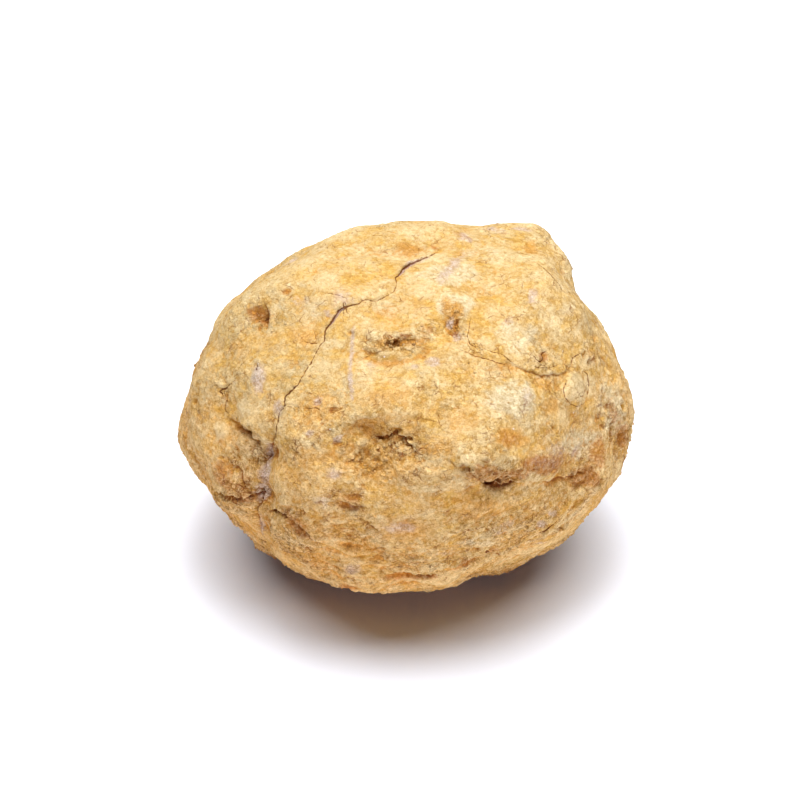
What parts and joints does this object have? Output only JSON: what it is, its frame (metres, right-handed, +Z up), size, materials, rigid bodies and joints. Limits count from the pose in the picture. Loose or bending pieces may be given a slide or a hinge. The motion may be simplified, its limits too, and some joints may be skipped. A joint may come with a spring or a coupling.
{
  "type": "quartz geode",
  "caption": "Whole, unopened quartz geode: a rounded stone nodule under a crust of dry yellow clay, cracked over the top and resting on a small flat spot.",
  "frame": {"origin": "on the surface that the stone rests on, under the middle of its outline", "axes": "+Z up, the front of the stone faces -Y and its right side +X"},
  "size_m": [0.0722, 0.0678, 0.0528],
  "materials": {
    "clay_crust": "dry crumbly ochre clay crust, matte, with lilac-grey chalcedony showing through in patches"
  },
  "bodies": {
    "root": {"geode": "clay_crust"}
  },
  "joints": []
}
